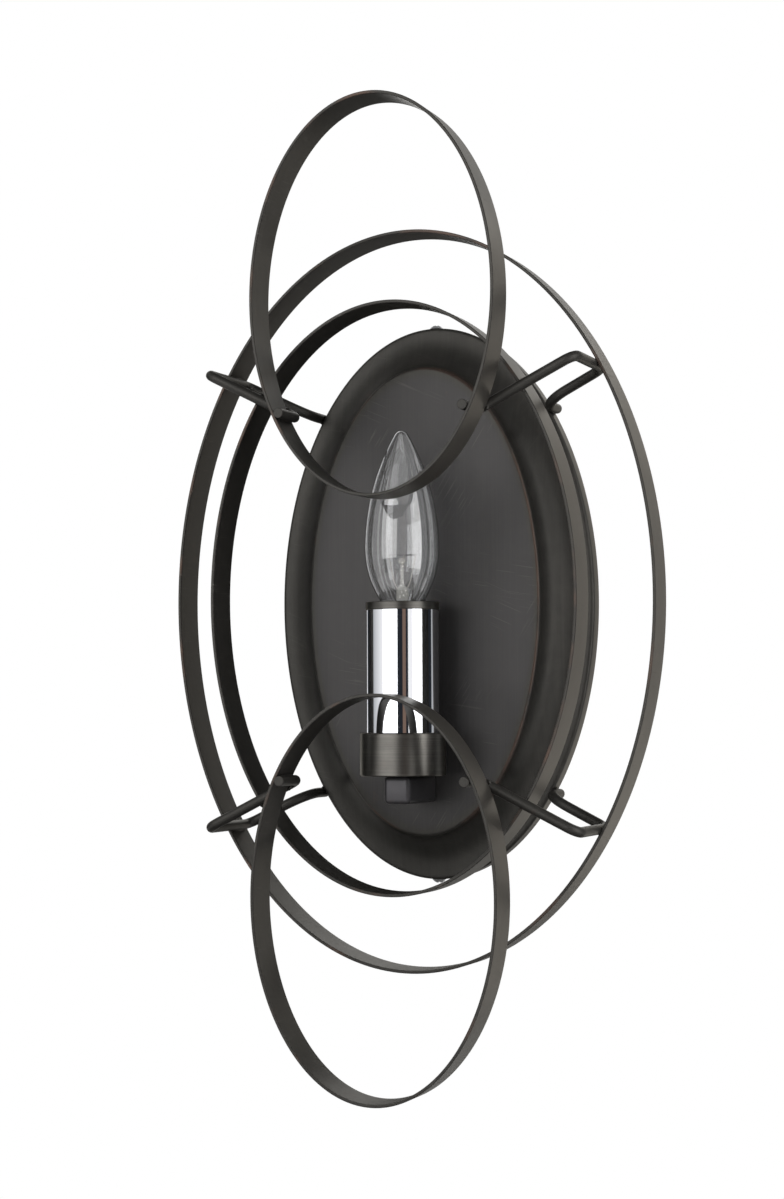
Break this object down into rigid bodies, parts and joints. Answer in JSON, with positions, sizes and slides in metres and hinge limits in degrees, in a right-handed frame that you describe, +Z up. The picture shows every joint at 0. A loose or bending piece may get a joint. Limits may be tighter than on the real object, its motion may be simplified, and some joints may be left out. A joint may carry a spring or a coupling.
{
  "type": "wall lamp",
  "caption": "Upright oval wall lamp: overlapping oval hoops of flat bar on bent rods, round a candle-style lamp holder with a clear bulb on a raised oval canopy.",
  "frame": {"origin": "middle of the canopy's back on the wall plane, midway between the two box screws in the strap", "axes": "+Z up, +X to the right of someone facing the lamp, +Y into the wall, so the lamp stands out towards -Y"},
  "size_m": [0.238, 0.1, 0.459],
  "materials": {
    "bronze": "brushed dark bronze, satin lacquer",
    "chrome": "mirror polished",
    "zinc_steel": "bright zinc plated",
    "green_screw": "green plated",
    "copper_wire": "bare copper",
    "socket_plastic": "moulded, dull black",
    "brass": "bright stamped brass",
    "bulb_glass": "clear polished glass",
    "mount_glass": "clear pressed glass",
    "insulator": "black glass insulator",
    "solder": "dull tin solder",
    "lamp_wire": "drawn nickel wire",
    "tungsten": "coiled tungsten wire",
    "lead_black": "black wire jacket",
    "lead_white": "white wire jacket"
  },
  "bodies": {
    "fixture": {"canopy": "bronze", "outer_hoop": "bronze", "inner_hoop": "bronze", "upper_hoop": "bronze", "lower_hoop": "bronze", "bracket_upper_right": "bronze", "bracket_lower_right": "bronze", "bracket_upper_left": "bronze", "bracket_lower_left": "bronze", "arm": "bronze", "arm_nipple": "zinc_steel", "arm_washer": "zinc_steel", "arm_nut": "zinc_steel", "cup": "bronze", "cup_nipple": "zinc_steel", "cup_nut": "zinc_steel", "holder_leg": "zinc_steel", "socket_body": "socket_plastic", "socket_shell": "brass", "socket_contact": "brass", "sleeve": "chrome", "sleeve_cap": "bronze", "lead_live": "lead_black", "lead_neutral": "lead_white", "wall_strap": "zinc_steel", "ground_screw": "green_screw", "ground_wire": "copper_wire"},
    "bulb": {"bulb_glass": "bulb_glass", "bulb_base": "brass", "bulb_insulator": "insulator", "bulb_contact": "solder", "bulb_stem": "mount_glass", "bulb_wire_right": "lamp_wire", "bulb_wire_left": "lamp_wire", "bulb_filament": "tungsten", "bulb_support": "lamp_wire"},
    "top_screw": {"side_screw_top": "zinc_steel"},
    "bottom_screw": {"side_screw_bottom": "zinc_steel"}
  },
  "joints": [
    {"name": "bulb_removal", "type": "slide", "parent": "fixture", "child": "bulb", "axis": [0, 0, 1], "range_m": [0, 0.03]},
    {"name": "top_screw_turn", "type": "hinge", "parent": "fixture", "child": "top_screw", "pos_m": [0, -0.0047, 0.1335], "axis": [0, 0, 1], "continuous": true},
    {"name": "bottom_screw_turn", "type": "hinge", "parent": "fixture", "child": "bottom_screw", "pos_m": [0, -0.0047, -0.1335], "axis": [0, 0, -1], "continuous": true}
  ]
}
